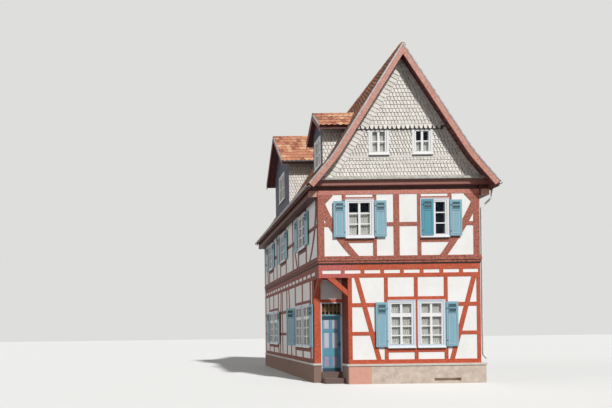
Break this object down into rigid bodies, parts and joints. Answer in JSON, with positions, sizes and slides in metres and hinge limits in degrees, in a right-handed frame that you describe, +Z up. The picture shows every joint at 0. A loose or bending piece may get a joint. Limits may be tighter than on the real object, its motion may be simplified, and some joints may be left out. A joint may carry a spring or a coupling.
{
  "type": "half timbered house",
  "caption": "Gable-fronted two-storey half timbered house with steep flared tiled roof, slate gable, shuttered windows, side dormers and a recessed corner door that opens.",
  "frame": {"origin": "ground level in the middle of the front, on the underside of the plinth, at the front timbers' outer face", "axes": "+X right along the front, +Y into the depth away from the viewer, +Z up"},
  "size_m": [7.14, 10.565, 12.4138],
  "materials": {
    "sandstone": "dressed and weathered",
    "floor": "worn boards",
    "red_timber": "brick red oil paint, weathered",
    "brown_board": "dark red-brown paint",
    "barge_paint": "salmon red paint",
    "plaster": "smooth white limewashed plaster",
    "slate": "pale sunlit slate",
    "roof_tile": "fired clay, weathered",
    "zinc": "dull weathered sheet",
    "white_paint": "satin white paint",
    "window_glass": "clear",
    "shutter_paint": "turquoise paint",
    "door_paint": "turquoise paint",
    "iron": "blackened"
  },
  "bodies": {
    "house": {"attic_floor": "floor", "attic_window_frames": "white_paint", "barge_board_left": "barge_paint", "barge_board_right": "barge_paint", "beam_ends": "barge_paint", "corner_brackets": "red_timber", "door_frame": "door_paint", "doorstep": "sandstone", "dormer_barge_boards": "brown_board", "dormer_roofs": "roof_tile", "dormer_walls": "slate", "downpipe": "zinc", "eaves_beams": "brown_board", "floor_joists": "red_timber", "front_gable_wall": "slate", "gable_flashing": "zinc", "gable_frieze": "brown_board", "ground_braces": "red_timber", "ground_floor": "floor", "ground_front_infill": "plaster", "ground_plate": "red_timber", "ground_posts": "red_timber", "ground_rails": "red_timber", "ground_shutters": "shutter_paint", "ground_side_infill": "plaster", "ground_sill": "red_timber", "ground_window_frames": "white_paint", "gutters": "zinc", "joist_infill": "plaster", "plinth": "sandstone", "plinth_coping": "sandstone", "rear_gable_wall": "slate", "rear_wall": "plaster", "ridge_tiles": "roof_tile", "rim_beam": "red_timber", "roof_left": "roof_tile", "roof_right": "roof_tile", "upper_braces": "red_timber", "upper_floor": "floor", "upper_front_infill": "plaster", "upper_plate": "red_timber", "upper_posts": "red_timber", "upper_rails": "red_timber", "upper_shutters": "shutter_paint", "upper_side_infill": "plaster", "upper_sill": "red_timber", "upper_window_frames": "white_paint", "window_glass": "window_glass"},
    "front_door": {"door_leaf": "door_paint", "door_handle": "iron", "door_hinges": "iron"}
  },
  "joints": [
    {"name": "front_door_hinge", "type": "hinge", "parent": "house", "child": "front_door", "pos_m": [-2.716, 0.768, 1.4], "axis": [0, 0, 1], "range_deg": [0, 90]}
  ]
}
